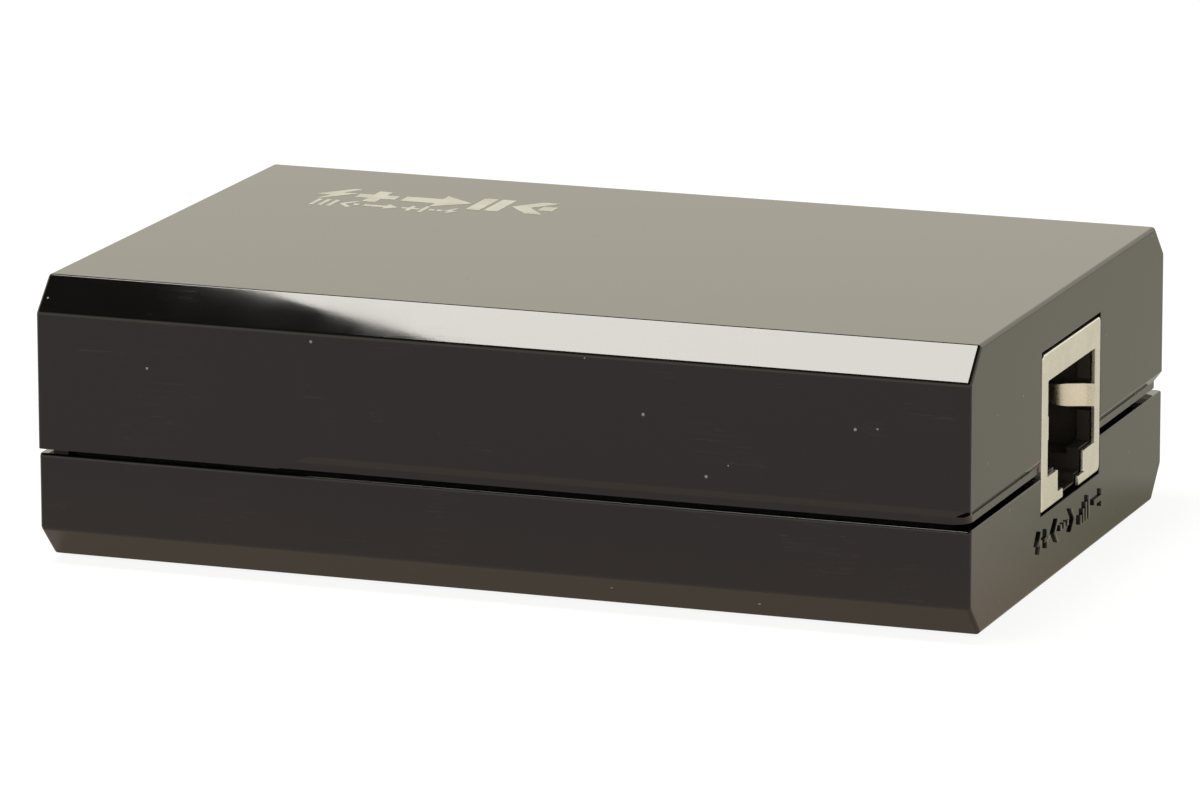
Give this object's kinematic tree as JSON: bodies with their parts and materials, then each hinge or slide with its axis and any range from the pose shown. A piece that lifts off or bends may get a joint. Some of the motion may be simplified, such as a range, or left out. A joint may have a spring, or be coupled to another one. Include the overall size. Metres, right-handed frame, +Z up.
{
  "type": "poe injector",
  "caption": "Compact desktop PoE injector: two-shell black housing with chamfered long edges, a shielded network port at each end, a DC power socket and a status light.",
  "frame": {"origin": "middle of the plane of the feet, under the housing's centre", "axes": "+X along the length towards the power-and-data-out port, -Y towards the front long side, +Z up"},
  "size_m": [0.0808, 0.054, 0.024],
  "materials": {
    "shell": "moulded black, semi-gloss faces and polished chamfers",
    "rubber": "soft matt pad",
    "label": "satin silver film",
    "board": "green solder mask",
    "steel": "tin-plated sheet",
    "port_plastic": "moulded black",
    "gold_contact": "gold-plated wire",
    "plated_pin": "nickel-plated",
    "light_pipe": "clear moulded rod",
    "led": "clear encapsulant",
    "package": "moulded epoxy",
    "can_sleeve": "shrink sleeve on an aluminium can",
    "ferrite": "fired ferrite",
    "copper": "enamelled copper wire",
    "fuse_body": "ceramic"
  },
  "bodies": {
    "housing": {"upper_shell": "shell", "lower_shell": "shell", "foot_front_left": "rubber", "foot_front_right": "rubber", "foot_rear_left": "rubber", "foot_rear_right": "rubber", "rating_label": "label", "circuit_board": "board", "out_jack_shield": "steel", "in_jack_shield": "steel", "out_jack_insert": "port_plastic", "in_jack_insert": "port_plastic", "power_jack_housing": "port_plastic", "board_screw_1": "plated_pin", "board_screw_2": "plated_pin", "power_jack_pin": "plated_pin", "light_pipe": "light_pipe", "status_led": "led", "magnetics_module": "package", "controller_chip": "package", "power_transistor": "package", "rectifier_diode": "package", "surge_suppressor": "package", "bulk_capacitor": "can_sleeve", "output_capacitor": "can_sleeve", "inductor_core": "ferrite", "inductor_winding": "copper", "input_fuse": "fuse_body"},
    "out_contacts": {"out_contact_1": "gold_contact", "out_contact_2": "gold_contact", "out_contact_3": "gold_contact", "out_contact_4": "gold_contact", "out_contact_5": "gold_contact", "out_contact_6": "gold_contact", "out_contact_7": "gold_contact", "out_contact_8": "gold_contact"},
    "in_contacts": {"in_contact_1": "gold_contact", "in_contact_2": "gold_contact", "in_contact_3": "gold_contact", "in_contact_4": "gold_contact", "in_contact_5": "gold_contact", "in_contact_6": "gold_contact", "in_contact_7": "gold_contact", "in_contact_8": "gold_contact"},
    "out_ground_left": {"out_ground_spring_left": "steel"},
    "out_ground_right": {"out_ground_spring_right": "steel"},
    "in_ground_left": {"in_ground_spring_left": "steel"},
    "in_ground_right": {"in_ground_spring_right": "steel"},
    "power_contact": {"power_jack_spring": "plated_pin"}
  },
  "joints": [
    {"name": "out_contacts_flex", "type": "hinge", "parent": "housing", "child": "out_contacts", "pos_m": [0.03755, 0.0003, 0.0176], "axis": [0, 1, 0], "range_deg": [0, 10], "stiffness_Nm_per_rad": 0.3},
    {"name": "in_contacts_flex", "type": "hinge", "parent": "housing", "child": "in_contacts", "pos_m": [-0.03755, -0.008, 0.0176], "axis": [0, -1, 0], "range_deg": [0, 10], "stiffness_Nm_per_rad": 0.3},
    {"name": "out_ground_left_flex", "type": "hinge", "parent": "housing", "child": "out_ground_left", "pos_m": [0.03995, -0.0061, 0.01326], "axis": [0, 0, 1], "range_deg": [0, 8], "stiffness_Nm_per_rad": 0.03},
    {"name": "out_ground_right_flex", "type": "hinge", "parent": "housing", "child": "out_ground_right", "pos_m": [0.03995, 0.0067, 0.01326], "axis": [0, 0, -1], "range_deg": [0, 8], "stiffness_Nm_per_rad": 0.03},
    {"name": "in_ground_left_flex", "type": "hinge", "parent": "housing", "child": "in_ground_left", "pos_m": [-0.03995, -0.0016, 0.01326], "axis": [0, 0, 1], "range_deg": [0, 8], "stiffness_Nm_per_rad": 0.03},
    {"name": "in_ground_right_flex", "type": "hinge", "parent": "housing", "child": "in_ground_right", "pos_m": [-0.03995, -0.0144, 0.01326], "axis": [0, 0, -1], "range_deg": [0, 8], "stiffness_Nm_per_rad": 0.03},
    {"name": "power_contact_flex", "type": "hinge", "parent": "housing", "child": "power_contact", "pos_m": [-0.02765, 0.012, 0.0085], "axis": [0, -1, 0], "range_deg": [0, 3], "stiffness_Nm_per_rad": 0.4}
  ]
}
